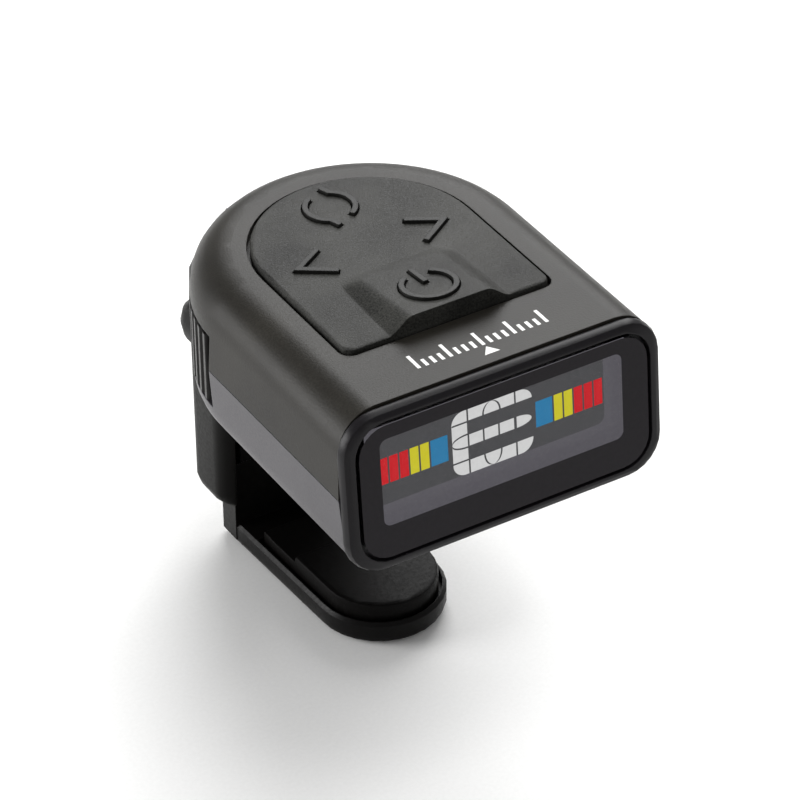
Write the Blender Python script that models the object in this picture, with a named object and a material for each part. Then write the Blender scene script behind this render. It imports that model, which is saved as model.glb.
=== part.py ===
"""Clip-on tuner: a D-shaped case with a keypad and a leaning display, on a ratchet clamp.

Sizes are millimetres and become Blender's metres through MM. +Z is up, the display faces -Y,
and the origin is on the foot's underside, below the centre of the case's round rear end.
"""

import math

import bmesh
import bpy
from mathutils import Matrix

MM = 0.001

# Case
CASE_WIDTH = 32.0
CASE_HEIGHT = 15.54
CASE_LENGTH = 39.5  # front of the face's lower edge to the rear of the arc
WALL = 1.3
CEILING = 1.5
FLOOR = 1.2
SEAM_HEIGHT = 7.55
TOP_FILLET = 3.75
BOTTOM_FILLET = 3.3
DRAFT = 0.26  # how far the sides lean in between the seam and the fillets
SEAM_GAP = 0.1
ARC_STEPS = 48
FILLET_STEPS = 7

# Display
LEAN = math.radians(4.9)
BEZEL_DEPTH = 1.05
BEZEL_ROUND = 0.6
BEZEL_OVERHANG = 0.15  # below the underside of the case
LENS_WIDTH = 28.9
LENS_HEIGHT = 13.1
LENS_CORNER = 2.7
LENS_THICKNESS = 0.8
LENS_GAP = 0.35
WINDOW_WIDTH = 24.9
WINDOW_HEIGHT = 10.4
LCD_THICKNESS = 1.1
BACKLIGHT_THICKNESS = 1.2

# Keypad
PAD_WIDTH = 20.7
PAD_FRONT = -13.75
PAD_PROUD = 0.36
PAD_THICKNESS = 1.05
PAD_GAP = 0.3
HUMP_TOP = 3.6  # half width of its flat top
HUMP_FOOT = 6.3  # half width where its flanks end
HUMP_FRONT_HEIGHT = 1.4
HUMP_REAR_HEIGHT = 0.5
HUMP_LENGTH = 8.0
GLYPH_STROKE = 0.5
GLYPH_PROUD = 0.28
GLYPH_GAP = 0.12
KEY_TRAVEL = 0.3
KEY_DISC_RADIUS = 3.1
KEY_DISC_THICKNESS = 0.4
PLUNGER_RADIUS = 1.1
KEY_PLACES = {
    "key_mode": (-0.2, 6.1),
    "key_next": (5.9, -1.1),
    "key_previous": (-5.9, -1.1),
    "key_power": (0.1, -10.1),
}

# Clamp
FOOT_RIM_HEIGHT = 2.4
FOOT_REAR_HALF = 7.0
FOOT_FRONT_HALF = 6.3
FOOT_FRONT_CENTRE = -1.1
FOOT_REAR = 16.3
FOOT_PAD_TOP = 4.0
FOOT_PAD_STEP = 0.6
FOOT_PAD_STEP_Y = 4.5
FOOT_PAD_REAR = 10.0
SEAT_PAD_PROUD = 0.65
JAW_GAP = 19.4
ARM_FRONT = 13.5
ARM_THICKNESS = 2.5
ARM_HALF = 7.0
ARM_UPPER_HALF = 6.2
ARM_WIDE_TOP = 9.4
ARM_TOP = 21.2
TONGUE_DEPTH = 0.7
TONGUE_WIDTH = 1.1
TOOTH_PITCH = 1.0
TOOTH_DEPTH = 0.5
TOOTH_HALF_WIDTH = 2.2
CLAMP_TRAVEL = 16.5
GUIDE_HALF = 8.8
GUIDE_FRONT = 12.7
GUIDE_REAR = 19.2
GUIDE_BOTTOM = 5.0
GUIDE_RISE = 7.15  # above the underside of the case
CHANNEL_WALL_HALF = 7.9
SLIDE_GAP = 0.2

# Release
LEVER_PIVOT = (9.9, 7.9)
LEVER_ARC = (4.2, 35.8)  # degrees from +X
SLOT_START = 2.0
LEVER_THICKNESS = 1.75
LEVER_BOTTOM = 3.75  # above the underside of the case
LEVER_HEIGHT = 7.0
LEVER_TAIL_BOTTOM = 2.25
LEVER_TAIL_HEIGHT = 2.6
SLOT_GAP = 0.3
RIB_COUNT = 7
RIB_DEPTH = 0.7
PIN_RADIUS = 0.5
PIN_CLEARANCE = 0.08

# Inside
CELL_RADIUS = 10.0
CELL_THICKNESS = 3.2
CELL_Y = -7.0
DOOR_RADIUS = 10.6
DOOR_LUGS = (30, 150, 270)  # where the lugs stand when the door is locked, in degrees
DOOR_TWIST = 45  # from locked to the notches that the lugs enter by
LUG_ARC = 11
PIEZO_Y = 7.8
PIEZO_RADIUS = 3.15
BOARD_HALF = 10.1
BOARD_FRONT = -17.0
BOARD_REAR = 7.4
BOARD_HEIGHT = 8.95  # above the underside of the case
BOARD_THICKNESS = 1.0
SCREW_PLACES = [(-12.0, -16.0), (12.0, -16.0), (-5.5, 9.6), (5.5, 9.6)]
SCREW_NAMES = [f"case_screw_{end}_{side}" for end in ("front", "rear") for side in ("left", "right")]
SCREW_RADIUS = 0.8
HEAD_RADIUS = 1.5
BOSS_RADIUS = 2.0
CLEAR = 0.1

# Levels and places that follow from the sizes above
HALF = CASE_WIDTH / 2
FRONT_Y = HALF - CASE_LENGTH
SEAT_Z = FOOT_PAD_TOP + JAW_GAP
BASE_Z = SEAT_Z + SEAT_PAD_PROUD
SEAM_Z = BASE_Z + SEAM_HEIGHT
TOP_Z = BASE_Z + CASE_HEIGHT
FLOOR_Z = BASE_Z + FLOOR
CEILING_Z = TOP_Z - CEILING
PAD_TOP = TOP_Z + PAD_PROUD
PAD_BOTTOM = PAD_TOP - PAD_THICKNESS
BOARD_Z = BASE_Z + BOARD_HEIGHT
ARM_REAR = ARM_FRONT + ARM_THICKNESS
GUIDE_TOP = BASE_Z + GUIDE_RISE
PAWL_AXIS = (GUIDE_REAR - 1.85, BASE_Z + 5.5)  # Y and Z
EAR_FRONT = ARM_REAR + 0.9
TAIL_TIP = EAR_FRONT - 0.16


def collection(name):
    made = bpy.data.collections.new(name)
    bpy.context.scene.collection.children.link(made)
    return made


def material(name, colour, roughness, metallic=0.0, alpha=1.0):
    made = bpy.data.materials.new(name)
    made.use_nodes = True
    shader = made.node_tree.nodes["Principled BSDF"]
    shader.inputs["Base Color"].default_value = (*colour, 1.0)
    shader.inputs["Roughness"].default_value = roughness
    shader.inputs["Metallic"].default_value = metallic
    shader.inputs["Alpha"].default_value = alpha
    return made


def made_object(name, bm, finish=None, origin=(0, 0, 0)):
    """An object from a mesh in millimetres, with its origin at the given place."""
    bmesh.ops.recalc_face_normals(bm, faces=bm.faces)
    bm.transform(Matrix.Scale(MM, 4) @ Matrix.Translation([-c for c in origin]))
    mesh = bpy.data.meshes.new(name)
    bm.to_mesh(mesh)
    bm.free()
    obj = bpy.data.objects.new(name, mesh)
    obj.location = [c * MM for c in origin]
    if finish:
        mesh.materials.append(finish)
        PARTS.objects.link(obj)
    else:
        CUTTERS.objects.link(obj)
        obj.hide_render = True
        obj.display_type = "WIRE"
    for polygon in mesh.polygons:
        polygon.use_smooth = True
    mesh.set_sharp_from_angle(angle=math.radians(35))
    return obj


def boolean(target, tool, operation="DIFFERENCE"):
    modifier = target.modifiers.new(f"{operation.lower()} {tool.name}", "BOOLEAN")
    modifier.object = tool
    modifier.operation = operation
    modifier.solver = "EXACT"


def cut(target, *tools):
    for tool in tools:
        boolean(target, tool)


def join(target, *tools):
    for tool in tools:
        boolean(target, tool, "UNION")


def box_mesh(low, high):
    bm = bmesh.new()
    bmesh.ops.create_cube(bm, size=1.0)
    size = [b - a for a, b in zip(low, high)]
    centre = [(a + b) / 2 for a, b in zip(low, high)]
    bm.transform(Matrix.Translation(centre) @ Matrix.Diagonal((*size, 1.0)))
    return bm


def box(name, low, high, finish=None, origin=(0, 0, 0)):
    return made_object(name, box_mesh(low, high), finish, origin)


def round_mesh(x, y, low, high, radius, steps=24, top_radius=None):
    bm = bmesh.new()
    bmesh.ops.create_cone(
        bm, cap_ends=True, segments=steps, radius1=radius,
        radius2=radius if top_radius is None else top_radius, depth=high - low,
    )
    bm.transform(Matrix.Translation((x, y, (low + high) / 2)))
    return bm


def round_bar(name, x, y, low, high, radius, finish=None, steps=24, origin=(0, 0, 0), top_radius=None):
    return made_object(name, round_mesh(x, y, low, high, radius, steps, top_radius), finish, origin)


def cross_bar(name, half_length, y, z, radius, finish=None, steps=16, middle=0.0):
    """A cylinder along X; middle moves its centre off the middle plane."""
    bm = round_mesh(0, 0, -half_length, half_length, radius, steps)
    bm.transform(Matrix.Translation((middle, y, z)) @ Matrix.Rotation(math.pi / 2, 4, "Y"))
    return made_object(name, bm, finish)


def loft_mesh(rings):
    """A closed skin through rings of equally many points, with flat ends."""
    bm = bmesh.new()
    loops = [[bm.verts.new(point) for point in ring] for ring in rings]
    for lower, upper in zip(loops, loops[1:]):
        for i in range(len(lower)):
            j = (i + 1) % len(lower)
            bm.faces.new((lower[i], lower[j], upper[j], upper[i]))
    bm.faces.new(loops[0][::-1])
    bm.faces.new(loops[-1])
    return bm


def slab_mesh(outline, low, high):
    """A flat outline in X and Y, pulled up from one height to another."""
    bm = bmesh.new()
    face = bm.faces.new([bm.verts.new((x, y, low)) for x, y in outline])
    grown = bmesh.ops.extrude_face_region(bm, geom=[face])["geom"]
    moved = [part for part in grown if isinstance(part, bmesh.types.BMVert)]
    bmesh.ops.translate(bm, verts=moved, vec=(0, 0, high - low))
    return bm


def slab(name, outline, low, high, finish=None, origin=(0, 0, 0)):
    return made_object(name, slab_mesh(outline, low, high), finish, origin)


def side_slab(name, outline, half_width, finish=None, origin=(0, 0, 0)):
    """An outline in Y and Z, pulled out along X to both sides of the middle plane."""
    bm = slab_mesh(outline, -half_width, half_width)
    bm.transform(Matrix(((0, 0, 1, 0), (1, 0, 0, 0), (0, 1, 0, 0), (0, 0, 0, 1))))
    return made_object(name, bm, finish, origin)


def arc(x, y, radius, start, end, steps):
    """Points of an arc, in degrees from +X, counted towards +Y."""
    turns = [math.radians(start + (end - start) * i / steps) for i in range(steps + 1)]
    return [(x + radius * math.cos(a), y + radius * math.sin(a)) for a in turns]


def d_outline(half, front, steps=ARC_STEPS, corner=0.0, corner_steps=4):
    """Straight sides that end in a half circle about the origin, and a front edge with round corners."""
    points = arc(0, 0, half, 0, 180, steps)
    if corner:
        points += arc(-half + corner, front + corner, corner, 180, 270, corner_steps)
        points += arc(half - corner, front + corner, corner, 270, 360, corner_steps)
    else:
        points += [(-half, front), (half, front)]
    return points


def rectangle(half_x, low, high, corner, steps=6):
    """A rectangle with round corners, symmetric in its first coordinate."""
    points = arc(half_x - corner, low + corner, corner, 270, 360, steps)
    points += arc(half_x - corner, high - corner, corner, 0, 90, steps)
    points += arc(-half_x + corner, high - corner, corner, 90, 180, steps)
    points += arc(-half_x + corner, low + corner, corner, 180, 270, steps)
    return points


def fillet_profile(radius, steps):
    """(inset, distance from the end) pairs from the flat end to the straight side."""
    turns = [math.pi / 2 * i / steps for i in range(steps + 1)]
    return [(radius * (1 - math.sin(a)), radius * (1 - math.cos(a))) for a in turns]


def tilt():
    """Takes a plan drawn in X and Z with depth along Y to the leaning display face."""
    lift = Matrix.Translation((0, FRONT_Y, BASE_Z))
    return lift @ Matrix.Rotation(-LEAN, 4, "X")


def face_piece(name, outline, near, far, finish=None):
    """A piece parallel to the display face, between two depths behind it."""
    bm = slab_mesh(outline, -far, -near)
    bm.transform(tilt() @ Matrix.Rotation(math.pi / 2, 4, "X"))
    return made_object(name, bm, finish)


def face_loft(name, rings, finish=None):
    """A skin through (outline, depth) rings behind the display face."""
    bm = loft_mesh([[(x, z, -depth) for x, z in outline] for outline, depth in rings])
    bm.transform(tilt() @ Matrix.Rotation(math.pi / 2, 4, "X"))
    return made_object(name, bm, finish)


def case_rings(start, end, fillet, steps, grow=0.0):
    """D-shaped rings from the seam to a filleted end; grow moves the whole skin inwards."""
    front = FRONT_Y - WALL
    straight = end - math.copysign(fillet, end - start)
    rings = [(HALF - grow, start), (HALF - grow - DRAFT, straight)]
    for inset, rise in reversed(fillet_profile(fillet, steps)[:-1]):
        rings.append((HALF - grow - DRAFT - inset, end - math.copysign(rise, end - start)))
    return [[(x, y, z) for x, y in d_outline(half, front)] for half, z in rings]


def slot_sector(name, side, low, high, inner, outer, spare):
    """The annular sector of a side slot; its front end leaves the lever room to swing."""
    start, end = SLOT_START, LEVER_ARC[1] + spare
    points = arc(0, 0, outer, start, end, 10) + arc(0, 0, inner, end, start, 10)
    return slab(name, [(side * x, y) for x, y in points], low, high)


def front_cutters(name):
    """Removes what is in front of the shells, and rebates their mouth for the bezel's skirt."""
    slack = BEZEL_DEPTH + SEAM_GAP
    plan = rectangle(CASE_WIDTH, -CASE_HEIGHT, 2 * CASE_HEIGHT, 1.0)
    mouth = rectangle(HALF - 0.9, 0.75, CASE_HEIGHT - 0.7, 2.9)
    front = face_piece(f"{name}_front_cut", plan, -CASE_LENGTH, slack)
    rebate = face_piece(f"{name}_mouth_cut", mouth, -CASE_LENGTH, slack + 1.6)
    return front, rebate


def shell(name, rings, cavity, finish):
    body = made_object(name, loft_mesh(rings), finish)
    hollow = made_object(f"{name}_hollow", loft_mesh(cavity))
    cut(body, hollow)
    return body


def cut_slots(body):
    low = BASE_Z + LEVER_BOTTOM - SLOT_GAP
    high = low + LEVER_HEIGHT + 2 * SLOT_GAP
    for side, word in ((-1, "left"), (1, "right")):
        cut(body, slot_sector(f"{body.name}_slot_{word}", side, low, high, HALF - 3, HALF + 2, 1.2))


def top_shell(finish):
    start = SEAM_Z + SEAM_GAP / 2
    cavity_start = SEAM_Z - CEILING
    body = shell(
        "top_shell",
        case_rings(start, TOP_Z, TOP_FILLET, FILLET_STEPS),
        case_rings(cavity_start, CEILING_Z, TOP_FILLET - WALL, 3, WALL),
        finish,
    )
    half = ARM_UPPER_HALF + 2 * SLIDE_GAP
    wall_front = ARM_FRONT - SLIDE_GAP - WALL
    pocket_top = ARM_TOP + CLAMP_TRAVEL + SLOT_GAP
    wall_far = (half + 0.25, wall_front + WALL + 0.05, CEILING_Z + 0.1)
    join(body, box("pocket_wall", (-half - 0.25, wall_front, start), wall_far))
    for (x, y), name in zip(SCREW_PLACES, SCREW_NAMES):
        join(body, round_bar(f"boss_for_{name}", x, y, start, CEILING_Z + 0.4, BOSS_RADIUS - 0.1, steps=16))
        pilot = SCREW_RADIUS + PIN_CLEARANCE
        cut(body, round_bar(f"pilot_for_{name}", x, y, start - 1, start + 4, pilot, steps=12))
    cut(body, box("arm_pocket", (-half, ARM_FRONT - SLIDE_GAP, SEAM_Z - 1), (half, HALF + 4, pocket_top)))
    cut(body, slab("keypad_seat", d_outline(PAD_WIDTH / 2 + PAD_GAP, PAD_FRONT - PAD_GAP, 28, 1.2),
                   PAD_BOTTOM - CLEAR, TOP_Z + 2))
    for name, (x, y) in KEY_PLACES.items():
        sink = PAD_BOTTOM - KEY_TRAVEL - 0.05
        cut(body, round_bar(f"well_for_{name}", x, y, sink, TOP_Z, KEY_DISC_RADIUS + 0.2))
        cut(body, round_bar(f"hole_for_{name}", x, y, CEILING_Z - 1, TOP_Z, PLUNGER_RADIUS + 0.15, steps=16))
    cut(body, *front_cutters("top"))
    cut_slots(body)
    return body


def bottom_shell(finish):
    start = SEAM_Z - SEAM_GAP / 2
    body = shell(
        "bottom_shell",
        case_rings(start, BASE_Z, BOTTOM_FILLET, FILLET_STEPS),
        case_rings(SEAM_Z + CEILING, FLOOR_Z, BOTTOM_FILLET - WALL, 3, WALL),
        finish,
    )
    for (x, y), name in zip(SCREW_PLACES, SCREW_NAMES):
        join(body, round_bar(f"post_for_{name}", x, y, BASE_Z + 0.3, start, BOSS_RADIUS, steps=16))
        cut(body, round_bar(f"way_for_{name}", x, y, BASE_Z - 1, SEAM_Z + 1, SCREW_RADIUS + 0.2, steps=12))
        cut(body, round_bar(f"sink_for_{name}", x, y, BASE_Z - 1, BASE_Z + 1.35, HEAD_RADIUS + 0.2, steps=16))
    for side, word in ((-1, "left"), (1, "right")):
        for x, y, place in ((8.6, -16.4, "front"), (7.9, 5.2, "rear")):
            name = f"board_post_{place}_{word}"
            join(body, round_bar(name, side * x, y, BASE_Z + 0.3, BOARD_Z - CLEAR, 0.9, steps=12))
        x, y = side * LEVER_PIVOT[0], LEVER_PIVOT[1]
        join(body, round_bar(f"lever_boss_{word}", x, y, BASE_Z + 0.3, FLOOR_Z + 0.75, 1.2, steps=16))
        bore = PIN_RADIUS + PIN_CLEARANCE
        cut(body, round_bar(f"lever_bore_{word}", x, y, FLOOR_Z, SEAM_Z, bore, steps=12))
    cut(body, round_bar("door_hole", 0, CELL_Y, BASE_Z - 1, FLOOR_Z + 0.5, DOOR_RADIUS + 0.2, steps=40))
    for turn in DOOR_LUGS:
        cut(body, door_lug(f"lug_way_{turn}", turn - DOOR_TWIST, 0.3, BASE_Z - 1, FLOOR_Z + 0.5))
    add_upright(body)
    cut(body, *front_cutters("bottom"))
    cut_slots(body)
    return body


def door_lug(name, turn, spare, low, high):
    outer = DOOR_RADIUS + 0.9 + spare
    half = LUG_ARC + math.degrees(spare / outer)
    points = arc(0, CELL_Y, outer, turn - half, turn + half, 6)
    points += arc(0, CELL_Y, DOOR_RADIUS - 2, turn + half, turn - half, 6)
    return slab(name, points, low, high)


def battery_door(finish):
    origin = (0, CELL_Y, BASE_Z)
    body = round_bar("battery_door", 0, CELL_Y, BASE_Z, FLOOR_Z - 0.1, DOOR_RADIUS, finish, 40, origin)
    join(body, round_bar("door_collar", 0, CELL_Y, BASE_Z + 0.5, FLOOR_Z + 0.75, DOOR_RADIUS - 0.7, steps=40))
    for turn in DOOR_LUGS:
        join(body, door_lug(f"lug_{turn}", turn, 0, FLOOR_Z + 0.15, FLOOR_Z + 0.75))
    cut(body, box("coin_slot", (-4.5, CELL_Y - 0.9, BASE_Z - 1), (4.5, CELL_Y + 0.9, BASE_Z + 0.6)))
    return body


def seat_pad(finish):
    """Rubber face of the upper jaw, glued under the round rear end and over the rear screws."""
    radius = HALF - BOTTOM_FILLET - 0.5
    start = math.degrees(math.asin(4.4 / radius))
    plan = arc(0, 0, radius, start, 180 - start, 20)[1:-1] + [(-radius + 1.2, 4.4), (radius - 1.2, 4.4)]
    return slab("seat_pad", plan, SEAT_Z, BASE_Z - 0.05, finish)


def display_parts(plastic, clear, glass, white, copper):
    middle = CASE_HEIGHT / 2 - 0.1
    low, high = -BEZEL_OVERHANG, CASE_HEIGHT - 0.1
    rings = []
    for inset, corner, depth in ((1.0, 3.0, 0.0), (0.3, 3.4, 0.3), (0.0, 3.6, 1.0)):
        inset *= BEZEL_ROUND
        rings.append((rectangle(HALF - 0.1 - inset, low + inset, high - inset, corner), depth * BEZEL_ROUND))
    rings.append((rings[-1][0], BEZEL_DEPTH))
    bezel = face_loft("display_bezel", rings, plastic)
    skirt = rectangle(HALF - 1.05, 0.9, CASE_HEIGHT - 0.85, 2.75)
    join(bezel, face_piece("bezel_skirt", skirt, BEZEL_DEPTH - 0.1, BEZEL_DEPTH + 1.5))
    half, tall = LENS_WIDTH / 2, LENS_HEIGHT / 2
    gap = LENS_GAP
    seat = rectangle(half + gap, middle - tall - gap, middle + tall + gap, LENS_CORNER + gap)
    cut(bezel, face_piece("lens_seat", seat, -1, LENS_THICKNESS + 0.05))
    lcd_half, lcd_tall = WINDOW_WIDTH / 2 + 0.6, WINDOW_HEIGHT / 2 + 0.5
    way = rectangle(lcd_half + 0.3, middle - lcd_tall - 0.3, middle + lcd_tall + 0.3, 0.5, 2)
    cut(bezel, face_piece("lcd_way", way, 0, 6))
    plan = rectangle(half, middle - tall, middle + tall, LENS_CORNER)
    face_piece("display_lens", plan, 0.0, LENS_THICKNESS, clear)
    plan = rectangle(lcd_half, middle - lcd_tall, middle + lcd_tall, 0.3, 2)
    near = LENS_THICKNESS + 0.15
    face_piece("lcd_panel", plan, near, near + LCD_THICKNESS, glass)
    near += LCD_THICKNESS + 0.15
    face_piece("backlight_panel", plan, near, near + BACKLIGHT_THICKNESS, white)
    rear = near + BACKLIGHT_THICKNESS + 0.4
    y, top = FRONT_Y + rear + 0.9, BOARD_Z + BOARD_THICKNESS + CLEAR
    path = [(y, BASE_Z + 5), (y + 0.2, BASE_Z + 5), (y + 0.2, top)]
    path += [(BOARD_FRONT + 2, top), (BOARD_FRONT + 2, top + 0.2), (y, top + 0.2)]
    side_slab("display_ribbon", path, 5.0, copper)


def hump_mesh():
    """The thumb ridge at the pad's front edge: a crown with S-shaped flanks that sinks at its rear."""
    steps = 8
    slope = [i / steps for i in range(steps + 1)]
    flank = [(HUMP_FOOT + (HUMP_TOP - HUMP_FOOT) * t, 0.5 - 0.5 * math.cos(math.pi * t)) for t in slope]
    flank += [(HUMP_TOP / 2, 1.0)]
    profile = flank + [(-x, rise) for x, rise in reversed(flank)]
    base = PAD_BOTTOM + 0.4
    sections = [
        (PAD_FRONT + 0.02, HUMP_FRONT_HEIGHT),
        (PAD_FRONT + HUMP_LENGTH, HUMP_REAR_HEIGHT),
        (PAD_FRONT + HUMP_LENGTH + 0.7, 0.6 * HUMP_REAR_HEIGHT),
        (PAD_FRONT + HUMP_LENGTH + 1.4, 0.2 * HUMP_REAR_HEIGHT),
        (PAD_FRONT + HUMP_LENGTH + 2.0, -0.05),
    ]
    rings = []
    for y, height in sections:
        ring = [(x, y, PAD_TOP - 0.05 + (height + 0.05) * rise) for x, rise in profile]
        rings.append(ring + [(-HUMP_FOOT, y, base), (HUMP_FOOT, y, base)])
    return loft_mesh(rings)


def stroke(points, width):
    """The outline of a round-cornered pen line along the points."""
    left, right = [], []
    for i, (x, y) in enumerate(points):
        x0, y0 = points[max(i - 1, 0)]
        x1, y1 = points[min(i + 1, len(points) - 1)]
        length = math.hypot(x1 - x0, y1 - y0)
        nx, ny = -(y1 - y0) / length, (x1 - x0) / length
        before = (x - x0, y - y0) if i else (x1 - x, y1 - y)
        scale = length * math.hypot(*before) / max(abs(before[0] * (x1 - x0) + before[1] * (y1 - y0)), 1e-9)
        left.append((x + nx * width / 2 * scale, y + ny * width / 2 * scale))
        right.append((x - nx * width / 2 * scale, y - ny * width / 2 * scale))
    return left + right[::-1]


def lengthened(points, extra):
    """The same line with both ends moved outwards."""
    def beyond(inner, end):
        length = math.dist(inner, end)
        return tuple(e + (e - i) * extra / length for i, e in zip(inner, end))
    return [beyond(points[1], points[0]), *points[1:-1], beyond(points[-2], points[-1])]


def glyph_lines(name, x, y):
    """The pen lines of each key's mark."""
    if name == "key_mode":
        return [
            [(x + 0.7, y + 3.0), *arc(x, y, 2.25, 62, -62, 12)],
            [(x - 0.7, y - 3.0), *arc(x, y, 2.25, 242, 118, 12)],
        ]
    if name == "key_next":
        return [[(x - 1.7, y + 1.9), (x + 1.3, y + 0.1), (x - 1.7, y - 1.9)]]
    if name == "key_previous":
        return [[(x + 1.2, y + 1.9), (x - 1.7, y + 0.1), (x + 1.2, y - 1.9)]]
    return [arc(x, y, 2.4, 122, 418, 20), [(x, y + 0.5), (x, y + 3.1)]]


def crown_height(name):
    """How far the pad's surface stands above its flat part at a key, and how much it falls per mm of +Y."""
    if name != "key_power":
        return 0.0, 0.0
    fall = (HUMP_FRONT_HEIGHT - HUMP_REAR_HEIGHT) / HUMP_LENGTH
    return HUMP_FRONT_HEIGHT - fall * (KEY_PLACES[name][1] - PAD_FRONT), fall


def key(name, finish):
    x, y = KEY_PLACES[name]
    disc_top = PAD_BOTTOM + KEY_DISC_THICKNESS
    rise, fall = crown_height(name)
    top = PAD_TOP + rise + GLYPH_PROUD
    dome_top = BOARD_Z + BOARD_THICKNESS + 0.5
    body = round_bar(name, x, y, PAD_BOTTOM, disc_top, KEY_DISC_RADIUS, finish, 24, (x, y, PAD_BOTTOM))
    low = dome_top + KEY_TRAVEL + CLEAR
    join(body, round_bar(f"{name}_plunger", x, y, low, disc_top - 0.1, PLUNGER_RADIUS, steps=16))
    for i, line in enumerate(glyph_lines(name, x, y)):
        join(body, slab(f"{name}_mark_{i}", stroke(line, GLYPH_STROKE), PAD_BOTTOM + 0.2, top + 3 * fall))
    if fall:
        bm = box_mesh((-6, -6, 0), (6, 6, 3))
        bm.transform(Matrix.Translation((x, y, top)) @ Matrix.Rotation(-math.atan(fall), 4, "X"))
        cut(body, made_object(f"{name}_slope", bm))
    return body


def keypad(finish):
    half, corner = PAD_WIDTH / 2, 1.0
    rings = [(0.0, PAD_BOTTOM), (0.0, PAD_TOP - 0.3), (0.09, PAD_TOP - 0.09), (0.3, PAD_TOP)]
    skin = []
    for inset, z in rings:
        plan = d_outline(half - inset, PAD_FRONT + inset, 28, corner - inset)
        skin.append([(x, y, z) for x, y in plan])
    body = made_object("keypad", loft_mesh(skin), finish)
    join(body, made_object("hump", hump_mesh()))
    for name, (x, y) in KEY_PLACES.items():
        disc_way = PAD_BOTTOM + KEY_DISC_THICKNESS + 0.1
        cut(body, round_bar(f"{name}_way", x, y, PAD_BOTTOM - 1, disc_way, KEY_DISC_RADIUS + 0.2))
        for i, line in enumerate(glyph_lines(name, x, y)):
            wide = stroke(lengthened(line, GLYPH_GAP), GLYPH_STROKE + 2 * GLYPH_GAP)
            cut(body, slab(f"{name}_cut_{i}", wide, PAD_BOTTOM, TOP_Z + 4))
    return body


def guide_outline(side, rear, steps=5):
    """Plan of the clamp's upright: square at the front but for small corners, round at the rear."""
    half, far, corner = GUIDE_HALF - side, GUIDE_REAR - rear, 2.2
    points = arc(half - corner, far - corner, corner, 0, 90, steps)
    points += arc(-half + corner, far - corner, corner, 90, 180, steps)
    points += arc(-half + 1.4, GUIDE_FRONT + 1.4, 1.4, 180, 270, 3)
    points += arc(half - 1.4, GUIDE_FRONT + 1.4, 1.4, 270, 360, 3)
    return points


def upright_mesh():
    """The clamp's upright, with a grip bead round its top and a rounded lower end."""
    bead = BASE_Z - 0.3
    levels = [(inset, GUIDE_BOTTOM + z) for inset, z in ((1.5, 0.0), (0.75, 0.2), (0.2, 0.8), (0.0, 1.6))]
    swell = ((0.0, -2.0), (-0.45, -1.3), (-0.65, 0.0), (-0.45, 1.3), (0.0, 2.0))
    levels += [(inset, bead + z) for inset, z in swell]
    levels += [(inset, GUIDE_TOP - z) for inset, z in ((0.1, 1.6), (0.4, 0.6), (1.3, 0.0))]
    return loft_mesh([[(x, y, z) for x, y in guide_outline(inset, inset)] for inset, z in levels])


def add_upright(body):
    """Joins the upright to the bottom shell and cuts the arm's channel and the pawl's bays in it."""
    wall = GUIDE_FRONT - SLIDE_GAP - WALL
    join(
        body,
        made_object("upright", upright_mesh()),
        box("channel_wall", (-CHANNEL_WALL_HALF, wall + 0.15, BASE_Z + 0.3),
            (CHANNEL_WALL_HALF, wall + WALL + 0.2, SEAM_Z - SEAM_GAP / 2)),
    )
    bay_low = BASE_Z + LEVER_TAIL_BOTTOM - SLOT_GAP
    bay_high = bay_low + LEVER_TAIL_HEIGHT + 2 * SLOT_GAP
    front, rear = GUIDE_FRONT - SLIDE_GAP, ARM_REAR + SLIDE_GAP
    deep = ARM_REAR + TOOTH_DEPTH + 2.0
    tongue_x, tongue_y = ARM_HALF + TONGUE_DEPTH + SLIDE_GAP, ARM_FRONT + 1.0
    cut(
        body,
        box("arm_channel", (-ARM_HALF - SLIDE_GAP, front, 0), (ARM_HALF + SLIDE_GAP, rear, TOP_Z)),
        box("tongue_grooves", (-tongue_x, tongue_y - SLIDE_GAP, 0),
            (tongue_x, tongue_y + TONGUE_WIDTH + SLIDE_GAP, TOP_Z)),
        box("foot_way", (-ARM_HALF - SLIDE_GAP, front, 0),
            (ARM_HALF + SLIDE_GAP, FOOT_REAR + 0.5, FOOT_RIM_HEIGHT + CLAMP_TRAVEL + SLOT_GAP)),
        box("pawl_bay", (-3.3, ARM_REAR - 1, GUIDE_BOTTOM + 1.6), (3.3, deep, GUIDE_TOP - 0.7)),
        box("ear_bay", (-8.25, front - 0.2, bay_low), (8.25, deep, bay_high)),
        box("spring_bay", (-4.6, ARM_REAR - 1, bay_low), (4.6, deep, GUIDE_TOP - 0.7)),
        box("rack_way", (-TOOTH_HALF_WIDTH - SLIDE_GAP, front, 0),
            (TOOTH_HALF_WIDTH + SLIDE_GAP, ARM_REAR + TOOTH_DEPTH + 0.1, TOP_Z)),
        cross_bar("pawl_pin_bore", 8.75, *PAWL_AXIS, PIN_RADIUS + 0.05, middle=0.45),
    )
    for side, word in ((-1, "left"), (1, "right")):
        inner, outer = sorted((side * 6.3, side * 8.6))
        near, far = (inner, GUIDE_FRONT - 2.2, bay_low), (outer, GUIDE_FRONT + 0.3, bay_high)
        cut(body, box(f"tail_way_{word}", near, far))
        inner, outer = sorted((side * 8.3, side * 9.2))
        near, far = (inner, GUIDE_FRONT - 2.2, bay_low), (outer, GUIDE_FRONT - 0.8, bay_high)
        cut(body, box(f"tail_swing_{word}", near, far))


def foot_outline(inset, steps=14):
    """Foot plan: a round front, sides that widen towards the rear, and small rear corners."""
    front, rear = FOOT_FRONT_HALF - inset, FOOT_REAR_HALF - inset
    corner = 1.2
    far = FOOT_REAR - inset
    points = arc(rear - corner, far - corner, corner, 0, 90, 3)
    points += arc(-rear + corner, far - corner, corner, 90, 180, 3)
    points += arc(0, FOOT_FRONT_CENTRE, front, 180, 360, steps)
    return points


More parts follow.
